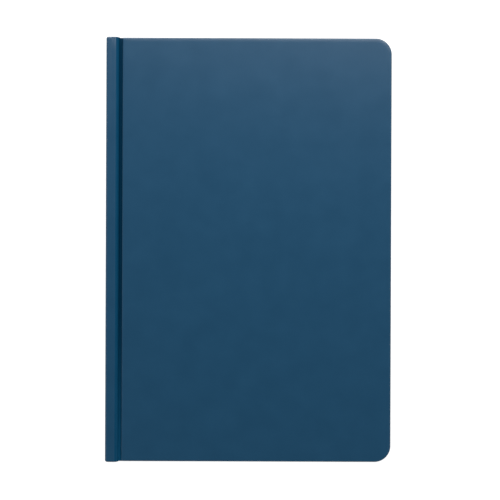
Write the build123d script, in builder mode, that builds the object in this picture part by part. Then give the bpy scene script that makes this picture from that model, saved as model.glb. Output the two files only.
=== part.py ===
"""A casebound pilot logbook, lying closed on its back cover.

Frame: +Z up, +Y towards the head, the spine at -X and the fore-edge at +X.
The origin is the centre of the closed book's footprint, on the surface it lies on.
"""

from build123d import *
import os

os.makedirs("parts", exist_ok=True)

# Driving dimensions, in millimetres.
cover_width = 158.3
cover_height = 234.8
spine_height = 235.8
book_thickness = 15.6
cover_corner_radius = 8.9

# Materials of the case.
cloth = 0.4
board = 2.6
turn_in = 14.0
pastedown_sheet = 0.15
spine_liner_sheet = 0.3
spine_corner_radius = 1.0

# The joint between a board and the spine, measured from the spine's outer face.
joint_width = 9.0
ridge_width = 4.7
groove_start = 6.6
groove_depth = 2.4
groove_gap = 0.1

# The text block.
leaf_height = 228.6
fore_edge_square = 3.0
page_corner_radius = 6.0
fold_offset = 4.3
sections_each_half = 5
section_thickness = 0.78
fold_radius = 0.35
flyleaf_sheet = 0.15
half_gap = 0.1

# Gauze, thread and bands on the folds.
lining_offset = 3.7
lining_thickness = 0.25
lining_height = 210.0
thread_radius = 0.12
thread_stations = 7
thread_spacing = 30.0
band_flange_thickness = 0.5
band_flange_height = 9.0
bead_radius = 0.7

# Values worked out from the dimensions above.
spine_x = -cover_width / 2
fore_x = cover_width / 2
joint_x = spine_x + joint_width
fold_x = spine_x + fold_offset
page_fore_x = fore_x - fore_edge_square
lining_x = spine_x + lining_offset
board_depth = cloth + board
turn_in_depth = board_depth + cloth
cover_depth = turn_in_depth + pastedown_sheet
section_stack = sections_each_half * section_thickness
back_block_low = cover_depth + flyleaf_sheet
back_block_high = back_block_low + section_stack
front_block_low = back_block_high + half_gap
front_block_high = front_block_low + section_stack
half_heights = {
    "back": (back_block_low, back_block_high),
    "front": (front_block_low, front_block_high),
}


def level(side, depth):
    """Height of a plane that lies depth below the outer face of one cover."""
    if side == "back":
        return depth
    return book_thickness - depth


def leaf_outline(z, x_low, x_high, height, radius):
    """A sheet's outline at height z, with its two fore-edge corners rounded."""
    with BuildSketch(Plane.XY.offset(z)) as outline:
        with Locations((x_low, 0)):
            Rectangle(x_high - x_low, height, align=(Align.MIN, Align.CENTER))
        if radius > 0:
            fillet(outline.vertices().group_by(Axis.X)[-1], radius)
    return outline.sketch


def finish_part(builder, name):
    """Label a finished piece and write it as the node of that name."""
    builder.part.label = name
    export_step(builder.part, f"parts/{name}.step")


# Covers: board, covering cloth, pastedown and the cloth of the groove.
for side in ("back", "front"):
    outer_z = level(side, 0)
    board_outer_z = level(side, cloth)
    board_inner_z = level(side, board_depth)
    turn_in_z = level(side, turn_in_depth)
    inner_z = level(side, cover_depth)
    board_outline = leaf_outline(
        board_outer_z,
        joint_x + cloth,
        fore_x - cloth,
        cover_height - 2 * cloth,
        cover_corner_radius - cloth,
    )
    cloth_outline = leaf_outline(outer_z, joint_x, fore_x, cover_height, cover_corner_radius)
    window_fore_x = fore_x - turn_in
    window_height = cover_height - 2 * turn_in
    window_outline = leaf_outline(board_inner_z, joint_x, window_fore_x, window_height, 0)
    sheet_outline = leaf_outline(turn_in_z, joint_x, page_fore_x, leaf_height, page_corner_radius)

    with BuildPart() as cover_board:
        extrude(board_outline, amount=board_inner_z - board_outer_z)
    finish_part(cover_board, f"{side}_board")

    with BuildPart() as cover_cloth:
        extrude(cloth_outline, amount=turn_in_z - outer_z)
        extrude(board_outline, amount=board_inner_z - board_outer_z, mode=Mode.SUBTRACT)
        extrude(window_outline, amount=turn_in_z - board_inner_z, mode=Mode.SUBTRACT)
    finish_part(cover_cloth, f"{side}_cover_cloth")

    with BuildPart() as pastedown:
        extrude(window_outline, amount=turn_in_z - board_inner_z)
        extrude(sheet_outline, amount=inner_z - turn_in_z)
    finish_part(pastedown, f"{side}_pastedown")

    groove_points = [
        (board_depth + groove_gap, 0),
        (ridge_width, 0),
        (groove_start, groove_depth),
        (joint_width, groove_depth),
        (joint_width, groove_depth + cloth),
        (groove_start - cloth / 2, groove_depth + cloth),
        (ridge_width - cloth / 2, cloth),
        (board_depth + groove_gap, cloth),
    ]
    with BuildPart() as groove_cloth:
        with BuildSketch(Plane.XZ) as groove_profile:
            with BuildLine() as groove_edge:
                Polyline([(spine_x + x, level(side, depth)) for x, depth in groove_points], close=True)
            make_face()
        extrude(amount=cover_height / 2, both=True)
    finish_part(groove_cloth, f"{side}_groove_cloth")

# Spine: a stiff strip on edge, its cloth, and a paper liner on its inner side.
with BuildPart() as spine_board:
    with BuildSketch(Plane.XZ) as strip_profile:
        with Locations((spine_x + cloth, book_thickness / 2)):
            Rectangle(board, book_thickness - 2 * cloth, align=(Align.MIN, Align.CENTER))
        fillet(strip_profile.vertices().group_by(Axis.X)[0], spine_corner_radius - cloth)
    extrude(amount=spine_height / 2 - cloth, both=True)
finish_part(spine_board, "spine_board")

with BuildPart() as spine_cloth:
    with BuildSketch(Plane.XZ) as wrap_profile:
        with Locations((spine_x, book_thickness / 2)):
            Rectangle(board_depth, book_thickness, align=(Align.MIN, Align.CENTER))
        fillet(wrap_profile.vertices().group_by(Axis.X)[0], spine_corner_radius)
    extrude(amount=spine_height / 2, both=True)
    add(spine_board.part, mode=Mode.SUBTRACT)
finish_part(spine_cloth, "spine_cloth")

with BuildPart() as spine_liner:
    with BuildSketch(Plane.XZ) as liner_profile:
        with Locations((spine_x + board_depth, book_thickness / 2)):
            liner_width = book_thickness - 2 * spine_corner_radius
            Rectangle(spine_liner_sheet, liner_width, align=(Align.MIN, Align.CENTER))
    extrude(amount=leaf_height / 2, both=True)
finish_part(spine_liner, "spine_liner")

# Text block, in two halves that part where the book opens.
for half, (low_z, high_z) in half_heights.items():
    with BuildPart() as spine_lining:
        with BuildSketch(Plane.XZ) as lining_profile:
            with Locations((lining_x, (low_z + high_z) / 2)):
                Rectangle(lining_thickness, high_z - low_z, align=(Align.MIN, Align.CENTER))
        extrude(amount=lining_height / 2, both=True)
    finish_part(spine_lining, f"{half}_spine_lining")

    thread_x = (lining_x + lining_thickness + fold_x) / 2
    with BuildPart() as sewing_thread:
        with BuildSketch(Plane.XY.offset(low_z)) as stitches:
            with Locations((thread_x, 0)):
                with GridLocations(1, thread_spacing, 1, thread_stations):
                    Circle(thread_radius)
        extrude(amount=high_z - low_z)
    finish_part(sewing_thread, f"{half}_sewing_thread")

    for end_name, end_sign in (("head", 1), ("tail", -1)):
        flange_y = end_sign * (leaf_height / 2 - band_flange_height / 2 + bead_radius)
        bead_y = end_sign * (leaf_height / 2 + bead_radius)
        bead_x = lining_x + bead_radius + thread_radius
        with BuildPart() as end_band:
            with BuildSketch(Plane.XY.offset(low_z)) as band_profile:
                with Locations((lining_x, flange_y)):
                    Rectangle(band_flange_thickness, band_flange_height, align=(Align.MIN, Align.CENTER))
                with Locations((bead_x, bead_y)):
                    Circle(bead_radius)
            extrude(amount=high_z - low_z)
        finish_part(end_band, f"{half}_{end_name}_band")

back_flyleaf_z = cover_depth
front_flyleaf_z = front_block_high
for half, flyleaf_z in (("back", back_flyleaf_z), ("front", front_flyleaf_z)):
    with BuildPart() as flyleaf:
        flyleaf_outline = leaf_outline(flyleaf_z, fold_x, page_fore_x, leaf_height, page_corner_radius)
        extrude(flyleaf_outline, amount=flyleaf_sheet)
    finish_part(flyleaf, f"{half}_flyleaf")

# Sections, numbered from the front of the book.
for index in range(sections_each_half * 2):
    half = "front" if index < sections_each_half else "back"
    place_in_half = index % sections_each_half
    section_low = half_heights[half][1] - (place_in_half + 1) * section_thickness
    section_outline = leaf_outline(section_low, fold_x, page_fore_x, leaf_height, page_corner_radius)
    with BuildPart() as section:
        extrude(section_outline, amount=section_thickness)
        fillet(section.edges().filter_by(Axis.Y).group_by(Axis.X)[0], fold_radius)
    finish_part(section, f"section_{index + 1:02d}")
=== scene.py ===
"""Looks of the casebound logbook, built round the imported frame. Lengths are in metres."""

import math
import random

import bmesh
import bpy
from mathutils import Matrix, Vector


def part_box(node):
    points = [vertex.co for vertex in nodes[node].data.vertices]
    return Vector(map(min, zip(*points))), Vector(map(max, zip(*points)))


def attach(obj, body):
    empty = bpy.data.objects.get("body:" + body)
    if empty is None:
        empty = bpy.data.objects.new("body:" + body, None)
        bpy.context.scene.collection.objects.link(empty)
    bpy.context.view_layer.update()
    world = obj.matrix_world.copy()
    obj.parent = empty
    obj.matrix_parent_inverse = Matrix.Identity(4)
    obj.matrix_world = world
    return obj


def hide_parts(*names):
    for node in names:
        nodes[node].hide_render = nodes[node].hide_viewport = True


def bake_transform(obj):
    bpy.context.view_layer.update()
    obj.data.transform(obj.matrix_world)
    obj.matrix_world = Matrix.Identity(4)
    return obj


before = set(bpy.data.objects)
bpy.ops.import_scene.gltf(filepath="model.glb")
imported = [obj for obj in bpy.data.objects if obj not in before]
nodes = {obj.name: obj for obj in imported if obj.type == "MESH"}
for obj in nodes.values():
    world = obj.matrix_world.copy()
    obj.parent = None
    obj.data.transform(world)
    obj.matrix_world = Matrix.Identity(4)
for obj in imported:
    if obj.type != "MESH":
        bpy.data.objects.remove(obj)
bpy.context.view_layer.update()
MM = 0.001

# The covering cloth. THINNEST_SHARE is what is left of its thickness at a rounded end.
CLOTH = 0.4 * MM
CORNER_RADIUS = 8.9 * MM
CORNER_STEPS = 14
SMALLEST_CORNER = 0.3 * MM
EDGE_RADIUS = 0.6 * MM
EDGE_STEPS = 6
FACE_INSET = 4 * EDGE_RADIUS
THINNEST_SHARE = 0.05
TURN_IN = 14 * MM
TURN_IN_STEP = 0.3 * MM

# The joint beside the spine, measured across from the spine's outer face. Towards the tail the groove
# gets shallower, from FADE_START to FADE_END along Y.
RIDGE_WIDTH = 4.7 * MM
GROOVE_START = 7.4 * MM
# Where the painted shade in the groove begins; that painted shade also fades out along Y towards the
# tail.
GROOVE_SHADE_START = 6.9 * MM
GROOVE_DEPTH = 2.8 * MM
GROOVE_END = 9.6 * MM
JOINT_WIDTH = 9.0 * MM
GROOVE_STEPS = 26
GROOVE_STATIONS = 30
TAIL_DEPTH = 1.1 * MM
FADE_START = -35 * MM
FADE_END = -117 * MM
DULL_START = 5.2 * MM
SHEET_THICKNESS = 0.5 * MM

# The spine strip. FACE_SHRINK is how much of the end rounding shows on its two narrow sides.
SPINE_CORNER = 1.0 * MM
SPINE_CORNER_STEPS = 8
FACE_SHRINK = 0.3

# The leaves. LEAF_FILL is how much of its room in a section each leaf takes up.
PAGE_CORNER = 6.0 * MM
PAGE_CORNER_STEPS = 8
FOLD_STEPS = 6
SECTIONS_IN_HALF = 5
SHEETS_IN_SECTION = 4
LEAF_FILL = 0.86
TRIM_SCATTER = 0.07 * MM
TRIM_SEED = 7
RULED_PITCH = 7.2 * MM
RULED_LINE = 0.33 * MM

# The gauze over the folds.
GAUZE_STEPS = 140
GAUZE_SHORT = 0.7 * MM
GAUZE_FRAY = 0.12 * MM

# The bands at the ends of the folds. Each wrap bulges, and the wraps near an end tuck in.
BEAD_RADIUS = 0.7 * MM
WRAP_PITCH = 0.55 * MM
RINGS_IN_WRAP = 8
BEAD_SEGMENTS = 14
WRAP_DEPTH = 0.14
END_TUCK = 0.7
TUCK_RISE = 0.6
NAVY_SHARE = 0.5
FLANGE_THICKNESS = 0.5 * MM

# Colours, as linear red, green and blue.
NAVY_DEEP = (0.0017, 0.0300, 0.0660)
NAVY_PALE = (0.0022, 0.0330, 0.0716)
NAVY_GRAIN = (0.003, 0.040, 0.083)
# Painted shade for the groove beside the spine.
NAVY_GROOVE_SHADE = (0.0, 0.012, 0.030)
LEAF_SHADES = ((0.46, 0.44, 0.395), (0.50, 0.48, 0.435))
LEAF_STREAK = (0.25, 0.235, 0.20)
HEADER_TINT = (0.30, 0.44, 0.58)
RULE_INK = (0.16, 0.25, 0.36)
ENDPAPER_SHADES = ((0.47, 0.465, 0.445), (0.51, 0.505, 0.49))
BOARD_SHADES = ((0.22, 0.20, 0.17), (0.34, 0.31, 0.27))
KRAFT_SHADES = ((0.30, 0.18, 0.09), (0.42, 0.27, 0.15))
GAUZE_SHADES = ((0.44, 0.42, 0.36), (0.56, 0.54, 0.48))
THREAD_SHADES = ((0.48, 0.45, 0.38), (0.62, 0.60, 0.54))
BAND_NAVY = (0.015, 0.055, 0.115)
BAND_WHITES = ((0.62, 0.61, 0.57), (0.50, 0.48, 0.43))
FLOOR_SHADES = ((0.19, 0.19, 0.19), (0.21, 0.21, 0.21))
WHITE = (1.0, 1.0, 1.0)

# The finish of the covering cloth: its specular level outside and inside the groove, and its roughness.
SATIN = 0.42
DULL = 0.03
SMOOTHEST = 0.295
ROUGHEST = 0.312

# Noise scales, as features in each metre.
MOTTLE = 90
CLOTH_GRAIN = 1900
FINE_GRAIN = 4200
PAPER_FIBRE = 700
PAPER_TOOTH = 1600
ENDPAPER_FIBRE = 450
ENDPAPER_TOOTH = 900
BOARD_FLECK = 1400
BOARD_TOOTH = 800
BAND_FIBRE = 2500
BAND_TOOTH = 3000
FLOOR_CLOUD = 3
STREAK_SCALES = (60, 60, 9000)
KRAFT_SCALES = (900, 160, 900)

# The limits that a noise is spread out between, and how much the fine grain adds to the cloth's relief.
NOISE_LOW = 0.3
NOISE_HIGH = 0.7
FINE_SHARE = 0.6

# How strongly a colour shows, from 0 to 1.
# The strength of the painted shade in the groove.
GROOVE_SHADE_TINT = 0.6
GRAIN_TINT = 0.20
STREAK_TINT = 0.5
FIBRE_TINT = 0.25
HEADER_SHOWS = 0.30
INK_SHOWS = 0.8

# The ruled table: its margins, its header, and where its columns stand as shares of its width.
SPINE_MARGIN = 15 * MM
FORE_MARGIN = 9 * MM
TAIL_MARGIN = 13 * MM
HEAD_MARGIN = 16 * MM
HEADER_ROWS = 2
COLUMNS = (0.0, 0.10, 0.22, 0.34, 0.50, 0.60, 0.70, 0.80, 0.90, 1.0)

# Faces that meet at more than this angle, in degrees, keep a crisp edge.
CRISP_COVER = 40
CRISP_FOLD = 50
CRISP_BEAD = 60

spine_low, spine_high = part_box("spine_cloth")
SPINE_X = spine_low[0]
BOOK_TOP = spine_high[2]


# ---------------------------------------------------------------- materials


class Shader:
    """A procedural material with one Principled shader."""

    def __init__(self, name, roughness, specular, sheen=0.0):
        self.material = bpy.data.materials.new(name)
        self.material.use_nodes = True
        self.tree = self.material.node_tree
        self.surface = self.tree.nodes["Principled BSDF"]
        self.surface.inputs["Roughness"].default_value = roughness
        self.surface.inputs["Specular IOR Level"].default_value = specular
        self.surface.inputs["Sheen Weight"].default_value = sheen
        self.place = self.tree.nodes.new("ShaderNodeTexCoord").outputs["Object"]

    def link(self, source, target):
        """Feed a socket from another socket, or set it to a number."""
        if isinstance(source, bpy.types.NodeSocket):
            self.tree.links.new(source, target)
        else:
            target.default_value = source

    def math(self, operation, a, b=0.0):
        """One Math node."""
        node = self.tree.nodes.new("ShaderNodeMath")
        node.operation = operation
        self.link(a, node.inputs[0])
        self.link(b, node.inputs[1])
        return node.outputs[0]

    def scaled(self, x, y, z):
        """The object's own coordinates, stretched along each axis."""
        node = self.tree.nodes.new("ShaderNodeMapping")
        self.link(self.place, node.inputs["Vector"])
        node.inputs["Scale"].default_value = (x, y, z)
        return node.outputs[0]

    def noise(self, scale, detail, vector=None):
        """A noise value about 0.5."""
        node = self.tree.nodes.new("ShaderNodeTexNoise")
        self.link(vector or self.place, node.inputs["Vector"])
        node.inputs["Scale"].default_value = scale
        node.inputs["Detail"].default_value = detail
        return node.outputs[0]

    def span(self, value, low, high, out_low=0.0, out_high=1.0):
        """A value carried from one range to another, and held at its ends."""
        node = self.tree.nodes.new("ShaderNodeMapRange")
        self.link(value, node.inputs["Value"])
        ends = {"From Min": low, "From Max": high, "To Min": out_low, "To Max": out_high}
        for socket, number in ends.items():
            node.inputs[socket].default_value = number
        return node.outputs[0]

    def tone(self, scale, detail):
        """Noise spread out from 0 to 1."""
        return self.span(self.noise(scale, detail), NOISE_LOW, NOISE_HIGH)

    def mix(self, factor, a, b):
        """A colour between a and b."""
        node = self.tree.nodes.new("ShaderNodeMix")
        node.data_type = "RGBA"
        self.link(factor, node.inputs[0])
        for colour, socket in ((a, node.inputs[6]), (b, node.inputs[7])):
            self.link(colour if isinstance(colour, bpy.types.NodeSocket) else (*colour, 1.0), socket)
        return node.outputs[2]

    def axes(self, vector=None):
        """The three parts of a vector."""
        node = self.tree.nodes.new("ShaderNodeSeparateXYZ")
        self.link(vector or self.place, node.inputs[0])
        return node.outputs

    def bump(self, height, strength, distance):
        """Relief on the surface."""
        node = self.tree.nodes.new("ShaderNodeBump")
        node.inputs["Strength"].default_value = strength
        node.inputs["Distance"].default_value = distance
        self.link(height, node.inputs["Height"])
        self.link(node.outputs[0], self.surface.inputs["Normal"])

    def colour(self, source):
        """The base colour, from a socket or three numbers."""
        source = source if isinstance(source, bpy.types.NodeSocket) else (*source, 1.0)
        self.link(source, self.surface.inputs["Base Color"])


def cover_cloth_material(name, specular):
    """Navy covering material: finely grained, softly mottled, with painted shade in the groove beside
    the spine that fades out towards the tail.
    """
    shader = Shader(name, roughness=0.3, specular=specular)
    mottle = shader.tone(MOTTLE, detail=4)
    navy = shader.mix(mottle, NAVY_DEEP, NAVY_PALE)
    grain = shader.noise(CLOTH_GRAIN, detail=2)
    raised = shader.span(grain, low=0.35, high=0.75, out_high=GRAIN_TINT)
    navy = shader.mix(raised, navy, NAVY_GRAIN)
    # Painted shade in the groove, from the ridge's shoulder to the board's edge, fading out towards the
    # tail where more light gets in.
    across = shader.math("SUBTRACT", shader.axes()[0], SPINE_X)
    ridge_side = shader.span(across, GROOVE_SHADE_START, GROOVE_START)
    board_side = shader.span(across, JOINT_WIDTH, GROOVE_END, out_low=1.0, out_high=0.0)
    along = shader.span(shader.axes()[1], FADE_END, FADE_START, out_high=GROOVE_SHADE_TINT)
    pressed = shader.math("MULTIPLY", shader.math("MULTIPLY", ridge_side, board_side), along)
    shader.colour(shader.mix(pressed, navy, NAVY_GROOVE_SHADE))
    roughness = shader.span(mottle, 0.0, 1.0, SMOOTHEST, ROUGHEST)
    shader.link(roughness, shader.surface.inputs["Roughness"])
    fine = shader.math("MULTIPLY", shader.noise(FINE_GRAIN, detail=2), FINE_SHARE)
    shader.bump(shader.math("ADD", grain, fine), strength=0.35, distance=0.03 * MM)
    return shader.material


def paper_edges(shader, colour):
    """Paper with fine streaks on the stack's edges, and each normal's size along Z, from 0 to 1."""
    facing = shader.tree.nodes.new("ShaderNodeNewGeometry").outputs["Normal"]
    transform = shader.tree.nodes.new("ShaderNodeVectorTransform")
    transform.vector_type = "NORMAL"
    transform.convert_from = "WORLD"
    transform.convert_to = "OBJECT"
    shader.link(facing, transform.inputs[0])
    upright = shader.math("ABSOLUTE", shader.axes(transform.outputs[0])[2])
    on_edge = shader.span(upright, low=0.3, high=0.6, out_low=1.0, out_high=0.0)
    streak = shader.noise(1.0, detail=4, vector=shader.scaled(*STREAK_SCALES))
    dark = shader.span(streak, low=0.42, high=0.62, out_high=STREAK_TINT)
    return shader.mix(shader.math("MULTIPLY", dark, on_edge), colour, LEAF_STREAK), upright


def leaf_material():
    """Writing paper: fibres, streaked edges, and a plain ruled table on each page."""
    shader = Shader("ruled_leaf_paper", roughness=0.85, specular=0.25)
    paper = shader.mix(shader.tone(PAPER_FIBRE, detail=4), *LEAF_SHADES)
    x, y, _ = shader.axes()
    # Every section has the same outline, so any of them gives the size of a page.
    low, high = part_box("section_06")
    left, right = low[0] + SPINE_MARGIN, high[0] - FORE_MARGIN
    tail, head = low[1] + TAIL_MARGIN, high[1] - HEAD_MARGIN
    header = head - HEADER_ROWS * RULED_PITCH

    def inside(value, start, end):
        """1 where a value lies between two others."""
        above = shader.math("GREATER_THAN", value, start)
        below = shader.math("LESS_THAN", value, end)
        return shader.math("MULTIPLY", above, below)

    rows = shader.math("FRACT", shader.math("DIVIDE", shader.math("SUBTRACT", y, tail), RULED_PITCH))
    ink = shader.math("LESS_THAN", rows, RULED_LINE / RULED_PITCH)
    for share in COLUMNS:
        column = left + share * (right - left - RULED_LINE)
        ink = shader.math("MAXIMUM", ink, inside(x, column, column + RULED_LINE))
    table = shader.math("MULTIPLY", inside(x, left, right), inside(y, tail, head))
    ink = shader.math("MULTIPLY", ink, table)
    band = shader.math("MULTIPLY", inside(y, header, head), inside(x, left, right))
    edged, upright = paper_edges(shader, paper)
    on_page = shader.span(upright, low=0.7, high=0.9)
    band = shader.math("MULTIPLY", shader.math("MULTIPLY", band, on_page), HEADER_SHOWS)
    ink = shader.math("MULTIPLY", shader.math("MULTIPLY", ink, on_page), INK_SHOWS)
    tinted = shader.mix(band, edged, HEADER_TINT)
    shader.colour(shader.mix(ink, tinted, RULE_INK))
    shader.bump(shader.noise(PAPER_TOOTH, detail=3), strength=0.25, distance=0.01 * MM)
    return shader.material


def endpaper_material():
    """Heavier plain paper of the pastedowns and flyleaves."""
    shader = Shader("endpaper", roughness=0.8, specular=0.3)
    shader.colour(shader.mix(shader.tone(ENDPAPER_FIBRE, detail=5), *ENDPAPER_SHADES))
    shader.bump(shader.noise(ENDPAPER_TOOTH, detail=4), strength=0.3, distance=0.015 * MM)
    return shader.material


def board_material():
    """Pressed millboard with its flecks."""
    shader = Shader("millboard", roughness=0.9, specular=0.2)
    fleck = shader.span(shader.noise(BOARD_FLECK, detail=4), low=0.4, high=0.62)
    shader.colour(shader.mix(fleck, *BOARD_SHADES))
    shader.bump(shader.noise(BOARD_TOOTH, detail=4), strength=0.5, distance=0.03 * MM)
    return shader.material


def kraft_material():
    """Brown kraft paper with fibres along the spine."""
    shader = Shader("kraft_paper", roughness=0.85, specular=0.25)
    fibres = shader.noise(1.0, detail=4, vector=shader.scaled(*KRAFT_SCALES))
    shader.colour(shader.mix(shader.span(fibres, NOISE_LOW, NOISE_HIGH), *KRAFT_SHADES))
    shader.bump(fibres, strength=0.3, distance=0.02 * MM)
    return shader.material


def woven_material(name, shades, pitch, depth):
    """Open plain weave, from two crossed sets of threads."""
    shader = Shader(name, roughness=0.85, specular=0.2, sheen=0.2)
    _, y, z = shader.axes()
    warp = shader.math("SINE", shader.math("MULTIPLY", y, math.tau / pitch))
    weft = shader.math("SINE", shader.math("MULTIPLY", z, math.tau / pitch))
    weave = shader.math("MAXIMUM", warp, weft)
    shader.colour(shader.mix(shader.span(weave, low=-0.4, high=0.8), *shades))
    shader.bump(weave, strength=0.6, distance=depth)
    return shader.material


def band_material():
    """Navy and white wraps, one after the other along the band."""
    shader = Shader("band_weave", roughness=0.6, specular=0.3, sheen=0.25)
    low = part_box("back_head_band")[0][2]
    rise = shader.math("SUBTRACT", shader.axes()[2], low)
    turn = shader.math("FRACT", shader.math("DIVIDE", rise, 2 * WRAP_PITCH))
    navy_turn = shader.math("LESS_THAN", turn, NAVY_SHARE)
    fibre = shader.noise(BAND_FIBRE, detail=2)
    thread = shader.span(fibre, NOISE_LOW, NOISE_HIGH, out_high=FIBRE_TINT)
    white = shader.mix(thread, *BAND_WHITES)
    shader.colour(shader.mix(navy_turn, white, BAND_NAVY))
    shader.bump(shader.noise(BAND_TOOTH, detail=2), strength=0.4, distance=0.02 * MM)
    return shader.material


COVER = cover_cloth_material("navy_cover_cloth", SATIN)
PRESSED = cover_cloth_material("navy_pressed_cloth", DULL)
LEAF = leaf_material()
ENDPAPER = endpaper_material()
BOARD = board_material()
KRAFT = kraft_material()
GAUZE = woven_material("gauze", GAUZE_SHADES, pitch=0.9 * MM, depth=0.05 * MM)
THREAD = woven_material("linen_thread", THREAD_SHADES, pitch=0.25 * MM, depth=0.02 * MM)
BAND = band_material()


# ---------------------------------------------------------------- mesh helpers


def new_piece(name, mesh, material, smooth_angle=None):
    """An object from a bmesh, with its material and slot."""
    bmesh.ops.recalc_face_normals(mesh, faces=mesh.faces)
    data = bpy.data.meshes.new(name)
    mesh.to_mesh(data)
    mesh.free()
    piece = bpy.data.objects.new(name, data)
    bpy.context.scene.collection.objects.link(piece)
    data.materials.append(material)
    if smooth_angle is not None:
        data.shade_smooth()
        data.set_sharp_from_angle(angle=math.radians(smooth_angle))
    return piece


def bridge(mesh, rings):
    """Skin closed rings of equal length one to the next, with a face over each end."""
    loops = [[mesh.verts.new(point) for point in ring] for ring in rings]
    for one, two in zip(loops, loops[1:]):
        for i in range(len(one)):
            j = (i + 1) % len(one)
            mesh.faces.new((one[i], one[j], two[j], two[i]))
    mesh.faces.new(loops[0])
    mesh.faces.new(reversed(loops[-1]))


def outline(low, high, inset, z):
    """A cover's outline, inset, with wide corners at the fore-edge and tight ones at the joint."""
    radius = max(CORNER_RADIUS - inset, SMALLEST_CORNER)
    x_low, x_high = low[0] + inset, high[0] - inset
    y_low, y_high = low[1] + inset, high[1] - inset
    points = []
    stops = (
        (x_high - radius, y_low + radius, radius, -90),
        (x_high - radius, y_high - radius, radius, 0),
        (x_low + EDGE_RADIUS, y_high - EDGE_RADIUS, EDGE_RADIUS, 90),
        (x_low + EDGE_RADIUS, y_low + EDGE_RADIUS, EDGE_RADIUS, 180),
    )
    for x, y, turn_radius, start in stops:
        for step in range(CORNER_STEPS + 1):
            angle = math.radians(start + 90 * step / CORNER_STEPS)
            across, along = turn_radius * math.cos(angle), turn_radius * math.sin(angle)
            points.append(Vector((x + across, y + along, z)))
    return points


def rounding():
    """Inset and depth of each ring round an edge, from the face to the wall."""
    for step in range(EDGE_STEPS + 1):
        angle = math.pi / 2 * step / EDGE_STEPS
        yield EDGE_RADIUS * (1 - math.sin(angle)), EDGE_RADIUS * (1 - math.cos(angle))


# ---------------------------------------------------------------- the case


def cover_skin(side, body):
    """The cloth over one board, with softly rounded edges and its turn-ins."""
    low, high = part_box(f"{side}_cover_cloth")
    outer_z, inward = (low[2], 1) if side == "back" else (high[2], -1)
    depth_all = high[2] - low[2]
    levels = [(FACE_INSET, 0.0)]
    levels += list(rounding())
    levels += [(inset, depth_all - depth) for inset, depth in reversed(list(rounding()))]
    levels += [(TURN_IN - TURN_IN_STEP, depth_all), (TURN_IN, depth_all - CLOTH)]
    mesh = bmesh.new()
    rings = [outline(low, high, inset, outer_z + inward * depth) for inset, depth in levels]
    bridge(mesh, rings)
    piece = new_piece(f"{side}_cover_skin", mesh, COVER, CRISP_COVER)
    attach(piece, body)
    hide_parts(f"{side}_cover_cloth")


def groove_depth(x, y):
    """How far the groove's surface lies below the cover, x from the spine's outer face."""
    across = min(max((x - RIDGE_WIDTH) / (GROOVE_START - RIDGE_WIDTH), 0), 1)
    towards_tail = min(max((FADE_START - y) / (FADE_START - FADE_END), 0), 1)
    deepest = GROOVE_DEPTH + (TAIL_DEPTH - GROOVE_DEPTH) * towards_tail
    return deepest * (1 - math.sqrt(1 - across * across))


def sheet_ends(half, radius, stations=0):
    """Places along Y with the share of a width left there, so that an end is rounded to radius."""
    stops = []
    for step in range(EDGE_STEPS + 1):
        angle = math.pi / 2 * step / EDGE_STEPS
        stops.append((half - radius * (1 - math.sin(angle)), max(math.cos(angle), THINNEST_SHARE)))
    middle = [(stops[0][0] * (2 * i / (stations + 1) - 1), 1.0) for i in range(1, stations + 1)]
    return [(-y, share) for y, share in reversed(stops)] + middle + stops


def groove_skin(side):
    """The cloth that is pressed into the groove, from the ridge to the board's edge."""
    cover_low, cover_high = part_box(f"{side}_cover_cloth")
    outer_z, inward = (0.0, 1) if side == "back" else (BOOK_TOP, -1)
    start = spine_high[0] - SPINE_X
    xs = [start + (GROOVE_END - start) * i / GROOVE_STEPS for i in range(GROOVE_STEPS + 1)]
    middle = SHEET_THICKNESS / 2
    # The spine is longer than the cover, so the cloth gets shorter as it drops into the groove.
    ridge_half, board_half = spine_high[1], cover_high[1]
    rings = []
    for index, (_, share) in enumerate(sheet_ends(ridge_half, middle, GROOVE_STATIONS)):
        ring = []
        for face in (-1, 1):
            for x in xs[::-face]:
                pressed_in = groove_depth(x, 0) / GROOVE_DEPTH
                half = ridge_half + (board_half - ridge_half) * pressed_in
                y = sheet_ends(half, middle, GROOVE_STATIONS)[index][0]
                z = outer_z + inward * (groove_depth(x, y) + middle + face * middle * share)
                ring.append(Vector((SPINE_X + x, y, z)))
        rings.append(ring)
    mesh = bmesh.new()
    bridge(mesh, rings)
    piece = new_piece(f"{side}_groove_skin", mesh, COVER, CRISP_FOLD)
    piece.data.materials.append(PRESSED)
    for face in piece.data.polygons:
        if face.center.x - SPINE_X > DULL_START:
            face.material_index = 1
    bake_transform(piece)
    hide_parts(f"{side}_groove_cloth")


def spine_skin():
    """The cloth round the spine strip, with the ends turned in."""
    rings = []
    for y, share in sheet_ends(spine_high[1], SPINE_CORNER):
        shrink = SPINE_CORNER * (1 - share)
        x_low, x_high = SPINE_X + shrink, spine_high[0]
        z_low, z_high = shrink * FACE_SHRINK, BOOK_TOP - shrink * FACE_SHRINK
        ring = [Vector((x_high, y, z_low)), Vector((x_high, y, z_high))]
        for centre_z, first in ((z_high - SPINE_CORNER, 90), (z_low + SPINE_CORNER, 180)):
            for step in range(SPINE_CORNER_STEPS + 1):
                angle = math.radians(first + 90 * step / SPINE_CORNER_STEPS)
                x = x_low + SPINE_CORNER + SPINE_CORNER * math.cos(angle)
                ring.append(Vector((x, y, centre_z + SPINE_CORNER * math.sin(angle))))
        rings.append(ring)
    mesh = bmesh.new()
    bridge(mesh, rings)
    piece = new_piece("spine_skin", mesh, COVER, CRISP_FOLD)
    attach(piece, "spine")
    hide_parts("spine_cloth")


# ---------------------------------------------------------------- the text block


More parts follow.
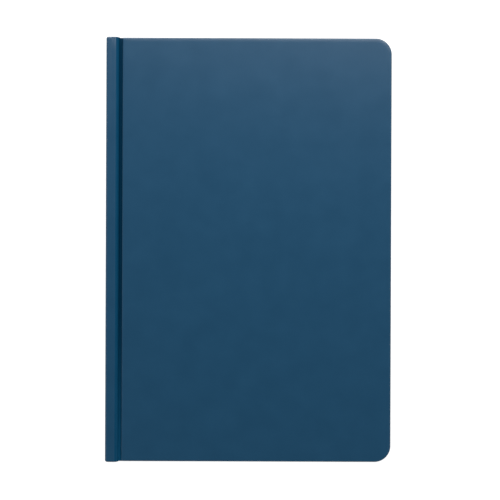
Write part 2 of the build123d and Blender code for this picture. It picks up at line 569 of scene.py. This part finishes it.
def folded_sheet(mesh, low, high, gap, thickness, rng):
    """One sheet folded into two leaves. gap is how far it lies inside the section's outer faces."""
    mid_z = (low[2] + high[2]) / 2
    fold_radius = (high[2] - low[2]) / 2
    radius = fold_radius - gap - thickness / 2
    centre_x = low[0] + fold_radius
    fore_x = high[0] - rng.uniform(0, TRIM_SCATTER)
    half = high[1] - rng.uniform(0, TRIM_SCATTER)
    corner = [math.pi / 2 * (1 - i / PAGE_CORNER_STEPS) for i in range(PAGE_CORNER_STEPS + 1)]
    leaf = []
    for angle in corner:
        back, down = 1 - math.sin(angle), 1 - math.cos(angle)
        leaf.append((fore_x - PAGE_CORNER * back, half - PAGE_CORNER * down))
    path = [(x, mid_z + radius, y, (0, 1)) for x, y in leaf]
    for step in range(FOLD_STEPS + 1):
        angle = math.pi / 2 + math.pi * step / FOLD_STEPS
        outward = (math.cos(angle), math.sin(angle))
        path.append((centre_x + radius * outward[0], mid_z + radius * outward[1], half, outward))
    path += [(x, mid_z - radius, y, (0, -1)) for x, y in reversed(leaf)]
    rings = []
    for x, z, y, (out_x, out_z) in path:
        dx, dz = out_x * thickness / 2, out_z * thickness / 2
        corners = ((1, y), (-1, y), (-1, -y), (1, -y))
        rings.append([Vector((x + sign * dx, side_y, z + sign * dz)) for sign, side_y in corners])
    bridge(mesh, rings)


def section_leaves(name, body, rng):
    """A section, as folded sheets one inside the other."""
    low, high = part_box(name)
    pitch = (high[2] - low[2]) / (2 * SHEETS_IN_SECTION)
    mesh = bmesh.new()
    for sheet in range(SHEETS_IN_SECTION):
        folded_sheet(mesh, low, high, sheet * pitch, pitch * LEAF_FILL, rng)
    piece = new_piece(f"{name}_leaves", mesh, LEAF)
    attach(piece, body)
    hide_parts(name)


def gauze_strip(half, body, rng):
    """The gauze over the folds of one half, with an uneven edge just short of where the book opens."""
    node = f"{half}_spine_lining"
    low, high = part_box(node)
    x_low, x_high = low[0], high[0]
    mesh = bmesh.new()
    rings = []
    for step in range(GAUZE_STEPS + 1):
        y = low[1] + (high[1] - low[1]) * step / GAUZE_STEPS
        short = GAUZE_SHORT + rng.uniform(0, GAUZE_FRAY)
        z_low, z_high = (low[2], high[2] - short) if half == "back" else (low[2] + short, high[2])
        corners = ((x_low, z_low), (x_high, z_low), (x_high, z_high), (x_low, z_high))
        rings.append([Vector((x, y, z)) for x, z in corners])
    bridge(mesh, rings)
    piece = new_piece(f"{half}_gauze_strip", mesh, GAUZE)
    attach(piece, body)
    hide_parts(node)


def end_band(half, end, body):
    """A wrapped bead on the end of the folds, with the flat tape that holds it."""
    node = f"{half}_{end}_band"
    low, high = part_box(node)
    sign = 1 if end == "head" else -1
    bead_x = high[0] - BEAD_RADIUS
    bead_y = (high[1] - BEAD_RADIUS) if sign > 0 else (low[1] + BEAD_RADIUS)
    height = high[2] - low[2]
    ring_count = int(round(height / WRAP_PITCH * RINGS_IN_WRAP))
    rings = []
    for index in range(ring_count + 1):
        rise = height * index / ring_count
        wrap = abs(math.sin(math.pi * rise / WRAP_PITCH))
        from_end = min(index, ring_count - index) / RINGS_IN_WRAP
        tuck = min(END_TUCK + TUCK_RISE * from_end, 1.0)
        radius = BEAD_RADIUS * (1 - WRAP_DEPTH + WRAP_DEPTH * wrap) * tuck
        turns = [math.tau * k / BEAD_SEGMENTS for k in range(BEAD_SEGMENTS)]
        around = [(bead_x + radius * math.cos(a), bead_y + radius * math.sin(a)) for a in turns]
        rings.append([Vector((x, y, low[2] + rise)) for x, y in around])
    mesh = bmesh.new()
    bridge(mesh, rings)
    tape_far = low[1] if sign > 0 else high[1]
    tape = []
    for y in (tape_far, bead_y):
        x_low, x_high = low[0], low[0] + FLANGE_THICKNESS
        corners = ((x_low, low[2]), (x_high, low[2]), (x_high, high[2]), (x_low, high[2]))
        tape.append([Vector((x, y, z)) for x, z in corners])
    bridge(mesh, tape)
    piece = new_piece(f"{node}_weave", mesh, BAND, CRISP_BEAD)
    piece.data.materials.append(GAUZE)
    for face in piece.data.polygons:
        if abs(face.center.y - bead_y) > BEAD_RADIUS:
            face.material_index = 1
    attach(piece, body)
    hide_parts(node)


# ---------------------------------------------------------------- build

for side, body in (("back", "back_half"), ("front", "front_cover")):
    cover_skin(side, body)
    groove_skin(side)
spine_skin()

trim = random.Random(TRIM_SEED)
for number in range(1, 2 * SECTIONS_IN_HALF + 1):
    half_body = "front_pages" if number <= SECTIONS_IN_HALF else "back_half"
    section_leaves(f"section_{number:02d}", half_body, trim)
for half, body in (("back", "back_half"), ("front", "front_pages")):
    gauze_strip(half, body, trim)
    for end in ("head", "tail"):
        end_band(half, end, body)

carried_over = {
    "back_board": BOARD,
    "front_board": BOARD,
    "spine_board": BOARD,
    "spine_liner": KRAFT,
    "back_pastedown": ENDPAPER,
    "front_pastedown": ENDPAPER,
    "back_flyleaf": ENDPAPER,
    "front_flyleaf": ENDPAPER,
    "back_sewing_thread": THREAD,
    "front_sewing_thread": THREAD,
}
for name, material in carried_over.items():
    nodes[name].data.materials.clear()
    nodes[name].data.materials.append(material)


# ---------------------------------------------------------------- stage, light and camera

FLOOR_HALF = 3.0
FLOOR_DROP = 0.02 * MM
FLOOR_GLOW = 0.92
ROOM_LIGHT = 0.2

# Each softbox has a place, a width, a height and a power in watts. Its width lies level.
SOFTBOXES = {
    "left_box": ((-1.1, 0.0, 1.25), 2.2, 0.25, 6),
    "right_box": ((1.1, 0.0, 1.25), 2.2, 0.25, 6.5),
    "top_box": ((0.0, 1.1, 1.3), 2.2, 0.3, 26),
    "head_box": ((0.04, 0.25, 0.32), 0.40, 0.10, 1.4),
    "tail_box": ((0.0, -1.3, 1.0), 2.0, 0.25, 8),
}

# The camera looks straight down from CAMERA_PLACE, turned by ROLL.
CAMERA_PLACE = (0.9 * MM, -0.1 * MM, 1.8)
VIEW_WIDTH = 277.2 * MM
ROLL = math.radians(0.21)
SENSOR_WIDTH = 36.0


def floor():
    """A plain white floor, lit from within so that it stays white beside the book."""
    shader = Shader("floor", roughness=0.9, specular=0.0)
    shader.surface.inputs["Emission Color"].default_value = (*WHITE, 1.0)
    shader.surface.inputs["Emission Strength"].default_value = FLOOR_GLOW
    shader.colour(shader.mix(shader.tone(FLOOR_CLOUD, detail=1), *FLOOR_SHADES))
    mesh = bmesh.new()
    bmesh.ops.create_grid(mesh, x_segments=1, y_segments=1, size=FLOOR_HALF)
    data = bpy.data.meshes.new("floor")
    mesh.to_mesh(data)
    mesh.free()
    plane = bpy.data.objects.new("floor", data)
    plane.location.z = -FLOOR_DROP
    bpy.context.scene.collection.objects.link(plane)
    data.materials.append(shader.material)


def softbox(name, place, width, height, watts):
    """An area light aimed at the book."""
    light = bpy.data.lights.new(name, "AREA")
    light.shape = "RECTANGLE"
    light.size = width
    light.size_y = height
    light.energy = watts
    lamp = bpy.data.objects.new(name, light)
    lamp.location = place
    lamp.rotation_euler = (-Vector(place)).to_track_quat("-Z", "Y").to_euler()
    lamp.visible_camera = False
    bpy.context.scene.collection.objects.link(lamp)


floor()
for name, (place, width, height, watts) in SOFTBOXES.items():
    softbox(name, place, width, height, watts)

scene = bpy.context.scene
scene.world = scene.world or bpy.data.worlds.new("studio")
scene.world.use_nodes = True
backdrop = scene.world.node_tree.nodes["Background"]
backdrop.inputs["Color"].default_value = (*WHITE, 1.0)
backdrop.inputs["Strength"].default_value = ROOM_LIGHT
scene.view_settings.view_transform = "Standard"

camera_data = bpy.data.cameras.new("camera")
camera_data.sensor_width = SENSOR_WIDTH
camera_data.lens = SENSOR_WIDTH * (CAMERA_PLACE[2] - BOOK_TOP) / VIEW_WIDTH
camera = bpy.data.objects.new("camera", camera_data)
camera.location = CAMERA_PLACE
camera.rotation_euler = (0.0, 0.0, ROLL)
scene.collection.objects.link(camera)
scene.camera = camera
